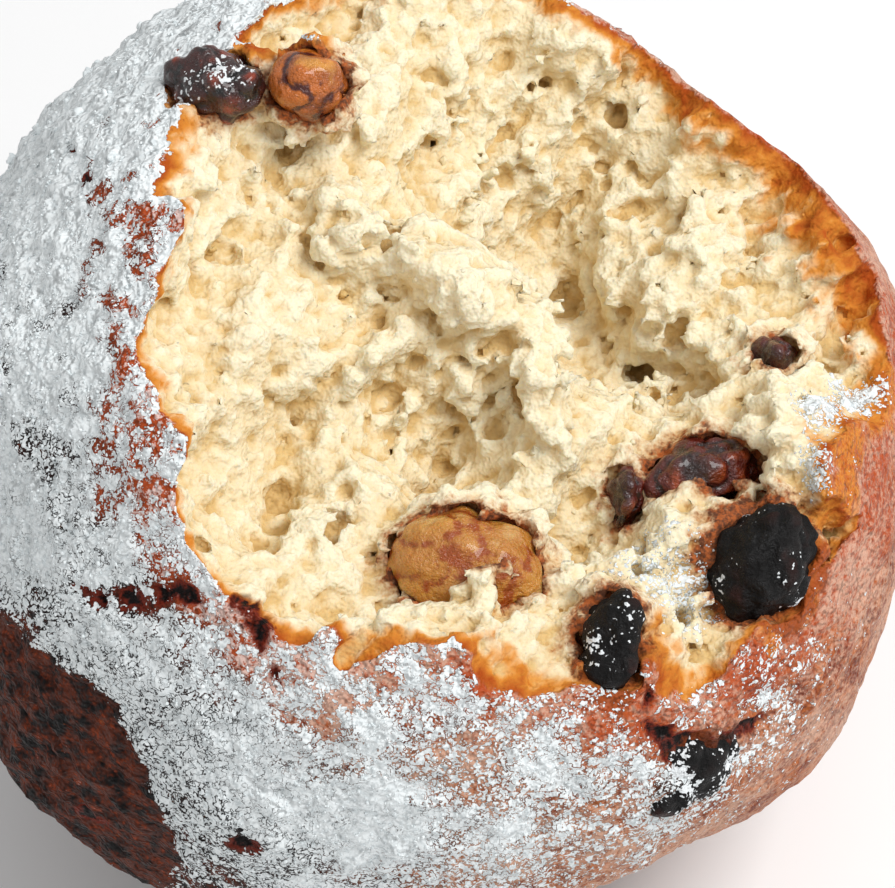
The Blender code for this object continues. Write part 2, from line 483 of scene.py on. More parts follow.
# %% Run a tree and keep its mesh
def add_object(name, data):
    """A new object in the scene, with its mesh, camera or lamp."""
    added = bpy.data.objects.new(name, data)
    bpy.context.scene.collection.objects.link(added)
    return added


def run_tree(name, tree, values, start=None):
    """Run a Geometry Nodes tree on a mesh and keep the result as a plain mesh."""
    holder = add_object(name, start or bpy.data.meshes.new(name))
    modifier = holder.modifiers.new(name, "NODES")
    modifier.node_group = tree
    for item in tree.interface.items_tree:
        if item.in_out == "INPUT" and item.name in values:
            modifier[item.identifier] = values[item.name]
    graph = bpy.context.evaluated_depsgraph_get()
    mesh = bpy.data.meshes.new_from_object(holder.evaluated_get(graph))
    holder.modifiers.clear()
    holder.data = mesh
    mesh.name = name
    print(name, "triangles:", sum(len(face.vertices) - 2 for face in mesh.polygons))
    return holder


print("trees can be run")

# %% [markdown]
# ## Where the sugar lies
# Powdered sugar falls from above, so it is thick on the upper side and the
# front, thins out toward the right, where fingers and fat took it off, and is
# missing low down. A single field tells how much lies in each direction. The
# mesh's relief, the material and the scattered grains all use it.

# %% Cover of sugar
MOST_SUGAR = 1.2
BARE_PATCH = Vector((-0.73, -0.57, 0.37)).normalized()
# Where more sugar lies than elsewhere, or less: direction, amount, tightness.
DRIFTS = [
    ((0.9, -0.1, 0.25), -0.64, 3.4),
    ((0.72, 0.68, 0.05), -0.5, 4.0),
    ((0.72, -0.42, 0.55), 0.2, 60.0),
    ((-0.45, 0.84, 0.3), 0.5, 12.0),
]


def field_sugar(place, direction):
    """How thickly sugar covers the skin, from 0 to 1."""
    up = vector("DOT_PRODUCT", direction, UP_IN_BITE)
    fallen = ramp(up + clouds(place, 9.0, seed=6.0) * 0.1, -1.0, 0.1)
    bare = vector("DOT_PRODUCT", direction, tuple(BARE_PATCH))
    bare = bare + clouds(place, 4.0, seed=7.0, detail=2.0) * 0.025
    bare = ramp(bare, 0.93, 0.955) + ramp(bare, 0.86, 0.93, 0.0, 0.1)
    return between(with_bumps(direction, DRIFTS, fallen * 0.96 - bare), 0.0, MOST_SUGAR)


def field_cover(place, cover):
    """The cover with its drifts and thin places: below -0.2 where there is no powder."""
    drifts = clouds(place, 7.0, seed=3.0, detail=1.0) * 0.22
    drifts = clouds(place, 2.3, seed=2.0, detail=2.0, rough=0.6) * 0.26 + drifts
    return cover * 0.8 - 0.22 + drifts * ramp(cover, 0.0, 0.4)


def powder_mask(place, cover):
    """More than 0.5 where powder hides what is below, with thin cracks between its patches."""
    lace = magnitude(clouds(place, 0.75, seed=1.0, detail=2.0, rough=0.7))
    return cover + lace


print("bare patch towards:", tuple(BARE_PATCH))

# %% [markdown]
# ## Cracks in the crust
# Steam splits the crust while the ball fries, so a few short, dark cracks run
# over it. Each is the distance to a line between two places on the skin. Plain
# lines would look drawn, so noise is added to the distance: it frays the edges
# and breaks a crack up.

# %% Cracks
# Cracks in the crust, from one place to another on the skin, with their half widths, in mm.
CRACKS = [
    ((-22.8, -9.6, 29.4), (-15.5, -9.2, 34.0), 0.9),
    ((-12.5, -9.5, 35.0), (-9.0, -15.0, 34.0), 1.0),
    ((-25.0, 23.0, 18.0), (-23.0, 19.0, 24.0), 0.7),
    ((-25.0, -25.5, 14.0), (-23.0, -26.5, 15.0), 0.9),
    ((-14.0, -26.3, 24.5), (-11.5, -27.0, 25.0), 0.8),
    ((16.5, -16.0, 31.5), (19.0, -21.5, 26.0), 1.1),
    ((18.5, -20.0, 27.0), (25.5, -19.0, 22.0), 1.2),
]


def field_cracks(direction):
    """1 in the cracks of the crust, and 0 away from them."""
    place = scaled(direction, BALL_RADIUS)
    ragged = clouds(place, 2.6, seed=19.0, detail=4.0, rough=0.7) * 3.6 + 0.4
    cracked = 0.0
    for start, end, width in CRACKS:
        start = Vector(start).normalized() * BALL_RADIUS
        along = Vector(end).normalized() * BALL_RADIUS - start
        offset = vector("SUBTRACT", place, tuple(start))
        share = vector("DOT_PRODUCT", offset, tuple(along / along.length_squared))
        reach = scaled(tuple(along), between(share, 0.0, 1.0))
        away = vector("LENGTH", vector("SUBTRACT", offset, reach)) + ragged
        cracked = calc("MAXIMUM", ramp(away, 0.0, width * 1.5, 1.0, 0.0), cracked)
    return cracked


print("cracks:", len(CRACKS))

# %% [markdown]
# ## Fine relief of the skin
# Deep frying leaves shallow pits, most of all on the dark side, and powder lies
# in small heaps. Absolute noise has sharp valleys and round tops, as heaps do.
# Where a raisin lies just under the crust, it lifts the crust a little.

# %% Relief of the skin
def field_relief(direction, sugar):
    """The skin's fine relief, in mm: a pitted crust and heaped powder."""
    place = scaled(direction, BALL_RADIUS)
    pitted = clouds(place, 2.2, seed=5.0, detail=3.0) * 0.35
    heaped = magnitude(clouds(place, 2.3, seed=2.0, detail=3.0, rough=0.6)) * 1.8
    rugged = clouds(place, 1.7, seed=20.0, detail=3.0) * 1.3
    rugged = bump_towards(direction, BARE_PATCH, 9.0) * rugged
    relief = pitted + rugged + heaped * sugar - field_cracks(direction) * 0.6
    return with_bumps(direction, [(FRUIT[name][0], 1.1, 90.0) for name in FRUIT_IN_CRUST], relief)


print("fruit under the crust:", len(FRUIT_IN_CRUST))

# %% [markdown]
# ## Juice and painted socket shade round the fruit
# Hot raisins leak dark syrup into the dough. How far the nearest fruit is tells
# where that stain lies, and some fruit bleeds further than others. On the crust
# the ring round a fruit is nearly black, partly syrup and partly painted shade of
# its socket.

# %% Juice and painted socket shade round the fruit
# How much wider than usual the juice of some fruit, and its painted socket shade, reach into the dough, in
# mm.
BLEEDS_AND_SOCKET_SHADE = {"raisin_socket": 1.3, "raisin_crack": 0.6, "raisin_inner": 0.5, "sultana_rim": 0.6}


def field_stain_and_socket_shade(place):
    """How far the nearest fruit is, in mm."""
    nearest = 9.0
    for name, (centre, half) in FRUIT.items():
        away = field_ellipsoid(place, centre, half) - BLEEDS_AND_SOCKET_SHADE.get(name, 0.0)
        nearest = calc("MINIMUM", away, nearest)
    return nearest


print("fruit that bleeds further:", sorted(BLEEDS_AND_SOCKET_SHADE))

# %% [markdown]
# ## What the crust and the powder look like, point by point
# Slow changes of colour could be worked out in the material, again for every
# ray of light. Working them out once for each point of the mesh and keeping
# them as attributes gives the same look in less time, and the grains that are
# scattered later can read them too.

# %% Crust and powder, point by point
# Where powder fell on the crumb: centre, radii, amount.
DUSTED = [
    ((18.5, -8.5, 26.0), (6.5, 6.0, 6.0), 0.6),
    ((30.5, 3.8, 19.8), (3.2, 3.0, 3.4), 0.84),
    ((34.2, 5.6, 15.0), (4.0, 3.2, 4.0), 0.86),
    ((29.8, -0.4, 23.6), (2.4, 3.2, 2.8), 0.82),
    ((6.0, -4.0, 28.0), (3.0, 3.0, 4.0), 0.3),
]

# Where the crust is thin and orange with fat: direction, amount, tightness.
FATTY_SPOTS = [
    ((30.4, -0.2, 23.5), 1.0, 90.0),
    ((27.5, -10.5, 26.0), 1.0, 180.0),
    ((34.5, 6.0, 14.0), 1.0, 160.0),
]
# Where the browned band is wider, in the same way.
WIDE_BROWNING = [((0.82, 0.5, 0.25), 0.7, 8.0), ((0.17, -0.39, 0.9), 0.5, 120.0)]
# Where powder lies so thin that the crust shows through it as lace, and how thick it lies there.
LACE_DIRECTION = (-0.49, -0.6, 0.63)
LACE_LEVEL = 0.44


def store_crust(mesh, place, direction, depth, air):
    """Keep what the crust's colours depend on."""
    wide = with_bumps(direction, WIDE_BROWNING)
    patches = clouds(place, 2.6, seed=9.0, detail=3.0, rough=0.65) * 2.8
    # Partly painted light and shade: the crust is made lighter toward the right and darker on the lower
    # left, on top of its fried colour.
    tan = ramp(vector("DOT_PRODUCT", direction, (0.85, -0.05, 0.5)), -0.5, 0.75)
    nearness = air + clouds(place, 2.5, seed=7.0, detail=2.0) * 3.0
    uneven_fat = clouds(place, 2.4, seed=22.0, detail=2.0, rough=0.6) * 1.6 + 1.0
    return store(mesh, browning=depth * (1.0 - wide) + patches,
                 tan=tan + clouds(place, 7.0, seed=5.0, detail=1.0) * 0.25,
                 rimward=ramp(nearness, 1.0, 8.0, 1.0, 0.0),
                 uneven=clouds(place, 7.0, seed=16.0, detail=2.0) * 0.45,
                 fatty=with_bumps(direction, FATTY_SPOTS) * uneven_fat, fruit=field_stain_and_socket_shade(place))


def store_powder(mesh, place, direction, depth, air, sugar):
    """Keep how thick the powder lies, and the cracks that it doesn't cover."""
    dust = 0.0
    for centre, radii, amount in DUSTED:
        dust = ramp(field_ellipsoid(place, centre, radii), -2.0, 1.0, amount, 0.0) + dust
    spilt = ramp(depth + clouds(place, 1.0, seed=9.0, detail=3.0) * 0.8, 0.1, 0.9, 1.0, 0.0)
    powder = field_cover(place, calc("MAXIMUM", sugar * spilt, dust))
    beside_rim = ramp(air, 1.0, 11.0, 1.0, 0.0)
    rubbed = ramp(clouds(place, 2.6, seed=17.0, detail=3.0, rough=0.7), -0.1, 0.3, 0.0, 0.36)
    powder = powder - rubbed * beside_rim * ramp(dust, 0.0, 0.3, 1.0, 0.0)
    lacy = bump_towards(direction, LACE_DIRECTION, 6.0) * ramp(powder, 0.2, 0.4)
    powder = powder + (powder * -1.0 + LACE_LEVEL) * lacy * 0.8
    cracked = field_cracks(direction)
    return store(mesh, crack=cracked, sugar=powder - cracked * 0.55)


print("spots of powder on the crumb:", len(DUSTED), "and of fat on the crust:", len(FATTY_SPOTS))

# %% [markdown]
# ## Grit on the crumb
# The torn face is rougher than the hollow's mesh could carry, so its points are
# pushed in and out once more. Crumb is also painted darker in its holes than on
# its tops, as shade. Averaging the places of the neighbours and comparing tells
# which of the two a point is, and one wide and one narrow average catch dents of
# both sizes.

# %% Grit of the crumb, and the painted shade of its holes
WIDE_BLUR = 40
NARROW_BLUR = 5


def named(name):
    """A number kept on the mesh."""
    return made("GeometryNodeInputNamedAttribute", {"Name": name}, data_type="FLOAT")


def hollowness(place, normal, steps):
    """How far a spot lies below its surroundings, in mm, by averaging them in steps."""
    average = made("GeometryNodeBlurAttribute", {"Value": place, "Iterations": steps},
                   data_type="FLOAT_VECTOR")
    return vector("DOT_PRODUCT", vector("SUBTRACT", average, place), normal)


def store_tone(mesh, place, grit_height):
    """Push the torn face about, and keep how sheltered each spot of it is, for the shade painted into its
    holes.
    """
    torn = ramp(named("depth"), 0.1, 1.0)
    grit = clouds(place, 1.1, seed=3.0, detail=2.0, rough=0.6) * 0.5
    grit = magnitude(clouds(place, 1.7, seed=5.0, detail=1.0)) * 0.9 + grit - 0.2
    normal = made("GeometryNodeInputNormal")
    mesh = push(mesh, scaled(normal, grit * torn * grit_height))
    # Painted shade: how far each spot lies in a hollow darkens the crumb there, and the noise adds random
    # variation.
    tone = hollowness(place, normal, WIDE_BLUR) * 1.1 + hollowness(place, normal, NARROW_BLUR) * 1.6
    tone = tone + field_air(place) * 0.1 + clouds(place, 5.0, seed=21.0, detail=1.0) * 0.6
    return store(mesh, tone=tone)


print("grit and tone ready")

# %% [markdown]
# ## The bitten ball
# The ball starts as an icosphere, which has even triangles and no poles. Each
# point is moved out along its own direction to the skin's radius, the lowest
# ones are pressed flat on the table's plane, and the hollow is cut out with a
# Mesh Boolean. The last node turns millimetres in the bite's frame into metres
# in the world.

# %% Tree of the ball
def tree_ball():
    """Geometry Nodes tree: the ball with the hollow cut out of it, in metres."""
    inputs = new_tree("bitten_ball", {"Fineness": 7.0, "Grit Height": 1.0}, takes_mesh=True)
    place = made("GeometryNodeInputPosition")
    direction = vector("NORMALIZE", place)
    sugar = field_sugar(scaled(direction, BALL_RADIUS), direction)
    skin = field_radius(direction) + field_relief(direction, sugar)

    ball = made("GeometryNodeMeshIcoSphere",
                {"Radius": BALL_RADIUS, "Subdivisions": inputs["Fineness"]})
    ball = made("GeometryNodeSetPosition", {"Geometry": ball, "Position": scaled(direction, skin)})
    height = vector("DOT_PRODUCT", place, UP_IN_BITE) + REST_DEPTH
    raised = scaled(UP_IN_BITE, calc("MAXIMUM", height * -1.0, 0.0))
    flattened = push(ball, raised)
    cut = made("GeometryNodeMeshBoolean", {"Mesh 1": flattened, "Mesh 2": inputs["Geometry"]},
               operation="DIFFERENCE", solver="MANIFOLD")
    mesh = biggest_island(cut)

    depth = calc("MINIMUM", skin - vector("LENGTH", place), height)
    air = field_air(place)
    mesh = store(mesh, depth=depth)
    mesh = store_crust(mesh, place, direction, depth, air)
    mesh = store_powder(mesh, place, direction, depth, air, sugar)
    mesh = store_tone(mesh, place, inputs["Grit Height"])
    mesh = made("GeometryNodeSetShadeSmooth", {"Geometry": mesh})
    mesh = made("GeometryNodeTransform",
                {"Geometry": mesh, "Translation": tuple(BALL_CENTRE),
                 "Rotation": (BITE_TILT, 0.0, 0.0), "Scale": (MM, MM, MM)})
    return close_tree(mesh, inputs["Material"])


print("tree of the ball ready")

# %% [markdown]
# ## Materials
# All looks come from nodes, since a painted image would not be sharp from close
# by. These helpers make an empty material, read a number that was kept on the
# mesh, turn a written colour into light, and mix two colours.

# %% Helpers for materials
BUMP_STRENGTH = 0.9


def new_material(name):
    """Open a new material, and give it with its shader's inputs."""
    material = bpy.data.materials.new(name)
    material.use_nodes = True
    opened["tree"] = material.node_tree
    return material, material.node_tree.nodes["Principled BSDF"].inputs


def attribute(name):
    """A number that Geometry Nodes stored on the mesh."""
    node = add_node("ShaderNodeAttribute", attribute_name=name)
    return Wire(node.outputs["Fac"])


def srgb(text):
    """A colour written as #rrggbb, in linear light."""
    parts = [int(text[i:i + 2], 16) / 255.0 for i in (1, 3, 5)]
    linear = [p / 12.92 if p < 0.04045 else ((p + 0.055) / 1.055) ** 2.4 for p in parts]
    return (*linear, 1.0)


def blend(factor, low, high):
    """Mix two colours."""
    node = add_node("ShaderNodeMix", data_type="RGBA")
    for number, value in ((0, factor), (6, low), (7, high)):
        put(node.inputs[number], srgb(value) if isinstance(value, str) else value)
    return Wire(node.outputs[2])


def place_in_mm():
    """The object's own coordinates, in millimetres."""
    coords = Wire(add_node("ShaderNodeTexCoord").outputs["Object"])
    return scaled(coords, 1.0 / MM)


def feed(shader, values):
    """Link or fill in the shader's inputs."""
    for name, value in values.items():
        put(shader[name], value)


def bumped(height, distance):
    """A normal that follows a height too fine for the mesh."""
    return made("ShaderNodeBump", {"Height": height, "Strength": BUMP_STRENGTH, "Distance": distance})


print("material helpers ready")

# %% [markdown]
# ## Colours of the crumb and the crust
# Crumb is cream on its tops and ochre in its holes, as painted shade. Just under
# the skin it is soaked with fat and turns orange. The crust is nearly black on its
# lower left and chestnut elsewhere, partly from frying and partly as painted shade
# there and painted light on the right, and reddish beside the bite. Thin fat and
# sugar make a pale, dotted film on it, thicker on the right, partly as painted
# sheen. Each step below mixes one more colour in, by noise or by a number kept on
# the points.

# %% Colours of the crumb and the crust
# Crumb, from its tops down into its holes, darkening as painted shade, and the browned band.
CREAM = "#F0E6C8"
PALE_CRUMB = "#EBDAB4"
SHADED_CRUMB = "#D8B87E"
DEEPEST_CRUMB_SHADE = "#9C7434"
CRUMB_SPECK = "#D2AC6C"
BROWNED = "#A84A10"
GOLDEN = "#DC9236"
# Crust: its dark side and its light side, partly painted shade and painted light, the rim, films of fat and
# sugar, fat, and painted shadow in gaps of thick powder.
BURNT = "#030101"
CHESTNUT = "#5C2612"
EMBER = "#A4461E"
DARK_TAN = "#7A3012"
LIGHT_TAN = "#BC6A36"
RIM_RED = "#B24A1C"
PINK_FILM = "#E8D0C8"
TAN_FILM = "#D8AE96"
DARK_FAT = "#B8560E"
BRIGHT_FAT = "#DC8C2C"
POWDER_GAP_SHADOW = "#120605"
# Cracks, with painted shadow in their middle, and the juice of the fruit, nearly black on the crust partly
# as painted socket shade.
CRACK_EDGE = "#6E200C"
CRACK_SHADOW = "#0A0302"
SYRUP = "#4A1608"
THIN_SYRUP = "#AC5420"
SOCKET_SHADE_AND_SYRUP = "#0C0403"
RIM_SYRUP = "#A04A1A"
SYRUP_HALO = "#B87834"


def crumb_colour(place, speckle):
    """Cream on the tops and ochre in the holes, where shade is painted."""
    tone = attribute("tone") + clouds(place, 1.3, seed=8.0, detail=2.0) * 0.35
    # Painted shade: paler on the crumb's tops, darker down into its holes.
    crumb = blend(ramp(tone, -0.6, 0.1), CREAM, PALE_CRUMB)
    crumb = blend(ramp(tone, 0.1, 1.2), crumb, SHADED_CRUMB)
    crumb = blend(ramp(tone, 1.1, 2.7), crumb, DEEPEST_CRUMB_SHADE)
    crumb = blend(ramp(speckle, 0.0, 0.5, 0.0, 0.3), crumb, CRUMB_SPECK)
    patchy = attribute("browning")
    browned = blend(ramp(patchy, -0.4, 1.4), BROWNED, GOLDEN)
    return blend(ramp(patchy, 0.7, 2.0), browned, crumb)


def crust_colour(place, speckle, sugar):
    """Nearly black on one side and chestnut on the other, partly painted shade and painted light, with a
    pale film, orange spots and painted shadow in gaps of thick powder.
    """
    tan = attribute("tan")
    blotches = ramp(clouds(place, 2.2, seed=6.0, detail=3.0, rough=0.8), -0.25, 0.3)
    fried = blend(blotches, BURNT, CHESTNUT)
    fried = blend(ramp(speckle, 0.0, 0.5, 0.0, 0.8) * blotches, fried, EMBER)
    light = blend(blotches, DARK_TAN, LIGHT_TAN)
    # Painted shade and painted light: the dark fried side on the lower left, the lighter side on the right.
    crust = blend(ramp(tan, 0.4, 0.95), fried, light)
    near_rim = attribute("rimward")
    crust = blend(near_rim * 0.9, crust, RIM_RED)
    # The film is laid on thicker on the lit right side, partly as painted sheen.
    thin = ramp(tan, 0.2, 0.9, -0.8, 0.2) + attribute("uneven")
    thin = thin + near_rim * ramp(tan, 0.5, 0.9, 0.72, -0.05)
    mild = speckle * ramp(tan, 0.4, 0.9, 1.8, 0.6)
    film = ramp(mild + thin, -0.04, 0.4, 0.0, 0.85)
    crust = blend(film, crust, blend(ramp(tan, 0.4, 0.9), PINK_FILM, TAN_FILM))
    glow = blend(ramp(speckle, -0.5, 0.5), DARK_FAT, BRIGHT_FAT)
    crust = blend(ramp(attribute("fatty"), 0.35, 0.6, 0.0, 0.9), crust, glow)
    # Painted shadow: the crust between patches of thick powder is darkened to nearly black.
    powder_gap_shadow = ramp(sugar, 0.3, 0.44, 0.0, 0.95) * ramp(tan, 0.5, 0.9, 1.0, 0.1) * (1.0 - near_rim)
    return blend(powder_gap_shadow, crust, POWDER_GAP_SHADOW)


def marked_colour(place, speckle, depth, base):
    """The same with its dark cracks, painted shadow in their middle, and with juice round the fruit, nearly
    black on the crust partly as painted socket shade.
    """
    on_skin = ramp(depth, 0.4, 1.6, 1.0, 0.0)
    crack = attribute("crack") + speckle * 0.6
    base = blend(ramp(crack, 0.1, 0.5) * on_skin, base, CRACK_EDGE)
    # Painted shadow: the middle of each crack is nearly black.
    base = blend(ramp(crack, 0.45, 0.9) * on_skin, base, CRACK_SHADOW)
    stain = attribute("fruit") + clouds(place, 1.4, seed=15.0, detail=3.0, rough=0.7) * 2.6
    juice = blend(ramp(speckle, -0.25, 0.3), SYRUP, THIN_SYRUP)
    soaked = ramp(depth, 0.1, 1.0)
    socket_shade_and_syrup = blend(attribute("rimward"), SOCKET_SHADE_AND_SYRUP, RIM_SYRUP)
    # Partly painted shade: on the crust the dough round a fruit is darkened to nearly black, partly syrup
    # and partly the shade of its socket.
    base = blend(ramp(stain, -0.5, 0.7, 0.95, 0.0) * (1.0 - soaked), base, socket_shade_and_syrup)
    base = blend(ramp(stain, -0.2, 1.5, 0.7, 0.0) * soaked, base, SYRUP_HALO)
    return blend(ramp(stain, -0.5, 0.5, 0.9, 0.0) * soaked, base, juice)


print("colours of the crumb and the crust ready")

# %% [markdown]
# ## The dough's one material
# Crust, crumb and sugar meet in ragged edges, which follow noise and not the
# mesh's triangles. So they share one material, and its masks draw the edges
# afresh for every spot. Only the crumb lets light pass under its surface. The
# bump is kept for what is too fine for the mesh: grains and pores under half a
# millimetre.

# %% Material of the dough
SUGAR_SHADE = "#DDE4E6"
SUGAR_WHITE = "#EFF4F5"
POWDER_ROUGHNESS = 0.95
CRUMB_ROUGHNESS = 0.85
CRUMB_SOFTNESS = 0.18
PORE_DEPTH = 0.22


def material_dough():
    """Crumb, browned band, crust and sugar in one."""
    material, shader = new_material("dough")
    place = place_in_mm()
    depth = attribute("depth")
    sugar = attribute("sugar")
    speckle = clouds(place, 0.6, seed=13.0, detail=2.0, rough=0.8)
    grainy = clouds(place, 0.45, seed=3.0, detail=1.0)
    crust = crust_colour(place, speckle, sugar)
    inside = crumb_colour(place, speckle)
    base = blend(ramp(depth + grainy * 0.3, 0.1, 0.35), crust, inside)
    base = marked_colour(place, speckle, depth, base)
    powder = ramp(powder_mask(place, sugar), 0.46, 0.54)
    white = blend(ramp(grainy, -0.5, 0.1), SUGAR_SHADE, SUGAR_WHITE)
    colour = blend(powder, base, white)

    is_crumb = ramp(depth, 0.1, 0.5)
    gloss = ramp(speckle, -0.3, 0.3, 0.45, 0.75)
    rough = calc("MAXIMUM", powder * POWDER_ROUGHNESS, is_crumb * CRUMB_ROUGHNESS)
    rough = calc("MAXIMUM", rough, gloss)
    soft = is_crumb * ramp(powder, 0.0, 1.0, CRUMB_SOFTNESS, 0.0)

    cushions = clouds(place, 1.3, seed=11.0, detail=2.0, rough=0.8) * 3.2
    drifts = clouds(place, 1.4, seed=18.0, detail=2.0) * 3.6 + 0.6
    grains = clouds(place, 0.5, seed=12.0, detail=1.0) * ramp(powder, 0.0, 1.0, 0.85, 0.95)
    height = cushions * (1.0 - is_crumb) * (1.0 - powder) + drifts * powder + grains
    feed(shader, {"Base Color": colour, "Roughness": rough, "Specular IOR Level": 0.2,
                  "Subsurface Weight": soft, "Subsurface Radius": (1.0, 0.7, 0.4),
                  "Subsurface Scale": 1.2 * MM, "Normal": bumped(height, PORE_DEPTH * MM)})
    return material


print("dough material ready")

# %% [markdown]
# ## Running the trees
# The hollow's mesh goes into the ball's tree, and only the bitten ball is kept.
# It rides on the one body and takes the place of the solid called dough.

# %% Build the ball
voxel = 0.44
hollow = run_tree("torn_hollow", tree_hollow(), {"Voxel": voxel})
dough_look = material_dough()
dough = run_tree("dough_body", tree_ball(), {"Material": dough_look}, start=hollow.data)
bpy.data.objects.remove(hollow)
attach(dough, "root")
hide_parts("dough")
print("size of the dough in mm:", [round(side / MM, 1) for side in dough.dimensions])

# %% [markdown]
# ## Raisins and sultanas
# Each fruit in the frame is a plain rounded lump. A copy has its loose
# triangles merged, is subdivided until it is smooth, and is then creased: the
# skin of a dried grape sinks along thin lines and swells between them. Taking
# the absolute value of noise gives such lines, where the noise passes zero.

# %% Tree of a raisin
OWN_PATTERN = (31.0, 17.0, 5.0)
WIDEST_CREASE = 0.3
MIDDLE_CREASE = 0.12


def tree_raisin():
    """Geometry Nodes tree: a smooth lump turned into a wrinkled fruit, in metres."""
    inputs = new_tree("wrinkled_fruit", {
        "Levels": 2.0, "Wrinkle Width": 2.6, "Wrinkle Depth": 0.45, "Dent Depth": 0.5, "Sugar": 0.0},
        takes_mesh=True)
    mesh = made("GeometryNodeMergeByDistance",
                {"Geometry": inputs["Geometry"], "Distance": 0.01 * MM})
    mesh = made("GeometryNodeSubdivisionSurface", {"Mesh": mesh, "Level": inputs["Levels"]})
    place = scaled(made("GeometryNodeInputPosition"), 1.0 / MM)
    normal = made("GeometryNodeInputNormal")
    shifted = vector("ADD", place, OWN_PATTERN)
    fineness = calc("DIVIDE", 1.0, inputs["Wrinkle Width"])
    values = {"Vector": shifted, "Scale": fineness, "Detail": 1.5}
    waves = made("ShaderNodeTexNoise", values) * 2.0 - 1.0
    crease = magnitude(waves)
    swell = calc("MINIMUM", crease, WIDEST_CREASE) - MIDDLE_CREASE
    swell = swell * inputs["Wrinkle Depth"] * (MM / WIDEST_CREASE)
    dent = clouds(place, 3.0, seed=8.0, detail=1.0) * inputs["Dent Depth"] * MM
    mesh = push(mesh, scaled(normal, swell + dent))
    drifted = clouds(place, 4.0, seed=3.0, detail=3.0) * 0.7
    mesh = store(mesh, crease=crease, sugar=drifted + inputs["Sugar"])
    mesh = made("GeometryNodeSetShadeSmooth", {"Geometry": mesh})
    return close_tree(mesh, inputs["Material"])


fruit_tree = tree_raisin()
print("nodes in the tree of a raisin:", len(fruit_tree.nodes))

# %% [markdown]
# ## Finishes of the fruit
# Raisins fried at the surface are black and dull. Those opened by the bite are
# wet and reddish, and sultanas are amber and let some light through. One
# function makes all five finishes: a darker colour painted into the creases as
# shade, the skin's own, and a bright one on the swellings, with a little sugar
# on top.

# %% Finishes of the fruit
# Crease shade, skin and bright colours, roughness, how far the crease shade colour spreads in patches, and a
# wet coat.
FINISHES = {
    "dark_raisin": ("#010000", "#050202", "#2A0E08", 0.5, 0.85, 0.0),
    "rim_raisin": ("#040101", "#3A0C06", "#A03A16", 0.18, 0.6, 0.5),
    "wet_sultana": ("#4A0E04", "#BE6418", "#E49C3C", 0.14, 0.5, 0.5),
    "brown_raisin": ("#1E0504", "#5A180C", "#A8481C", 0.18, 0.85, 0.5),
    "amber_raisin": ("#9E4A12", "#C88C3C", "#E0B870", 0.16, 0.3, 0.35),
}
EXTRAS = {"dark_raisin": {"Specular IOR Level": 0.3},
          "amber_raisin": {"Subsurface Weight": 0.4, "Subsurface Radius": (1.0, 0.4, 0.1),
                           "Subsurface Scale": 1.5 * MM}}
SUGAR_ON_SKIN = "#E6EAEC"
SKIN_GRAIN = 0.3


def material_fruit(name, crease_shade_colour, skin, bright, gloss, patches, coat):
    """The skin of a dried grape: painted shade in its creases, brighter where it swells."""
    material, shader = new_material(name)
    place = place_in_mm()
    crease = attribute("crease") + clouds(place, 0.8, detail=3.0) * 0.2
    # Painted shade: the creases get the darkest colour.
    colour = blend(ramp(crease, 0.0, 0.12), crease_shade_colour, skin)
    swelling = crease + clouds(place, 2.5, seed=4.0) * 0.4
    colour = blend(ramp(swelling, 0.2, 0.5), colour, bright)
    shade = clouds(place, 5.0, seed=7.0, detail=2.0)
    colour = blend(ramp(shade, -0.2, 0.3, 0.0, patches), colour, crease_shade_colour)
    powder = ramp(powder_mask(place, attribute("sugar")), 0.47, 0.53)
    colour = blend(powder, colour, SUGAR_ON_SKIN)
    rough = ramp(clouds(place, 1.5, seed=2.0, detail=3.0), -0.3, 0.3, gloss, gloss + 0.3)
    rough = calc("MAXIMUM", rough, powder)
    grain = clouds(place, 0.7, seed=3.0, detail=3.0, rough=0.7)
    feed(shader, {"Base Color": colour, "Roughness": rough, "Coat Weight": coat,
                  "Normal": bumped(grain, SKIN_GRAIN * MM)})
    feed(shader, EXTRAS.get(name, {}))
    return material


LOOKS = {name: material_fruit(name, *finish) for name, finish in FINISHES.items()}
print("finishes of the fruit:", list(LOOKS))

# %% [markdown]
# ## Building the fruit
# A copy of each solid is creased by the same tree. Large raisins have more
# faces to begin with, so they need fewer levels of subdivision. The tables say
# which fruit carries sugar, and which is wet.

# %% Build the fruit
SUGAR_ON_FRUIT = {"raisin_front": 0.3, "raisin_rim": 0.1, "sultana_rim": -0.3, "raisin_socket": 0.06,
                  "raisin_crack": 0.1, "raisin_left": 0.35, "raisin_low_left": 0.1}
NO_SUGAR = -0.4
WET_FRUIT = {"raisin_inner": "brown_raisin", "raisin_sliver": "brown_raisin", "raisin_wall": "brown_raisin",
             "raisin_rim": "rim_raisin", "sultana_rim": "wet_sultana"}
SULTANA_SHAPE = {"Wrinkle Depth": 0.3, "Wrinkle Width": 4.0, "Dent Depth": 0.5}
RAISIN_SHAPE = {"Wrinkle Depth": 0.5, "Wrinkle Width": 2.6, "Dent Depth": 0.9}
MANY_FACES = 200
for name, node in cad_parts.items():
    if name == "dough":
        continue
    is_amber = name.startswith("sultana")
    finish = WET_FRUIT.get(name, "amber_raisin" if is_amber else "dark_raisin")
    values = dict(SULTANA_SHAPE if is_amber else RAISIN_SHAPE)
    values["Levels"] = 2 if len(node.data.polygons) > MANY_FACES else 3
    values["Material"] = LOOKS[finish]
    values["Sugar"] = SUGAR_ON_FRUIT.get(name, NO_SUGAR)
    fruit = run_tree(name + "_skin", fruit_tree, values, start=node.data.copy())
    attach(fruit, "root")
    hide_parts(name)
print("pieces of fruit:", len(FRUIT))

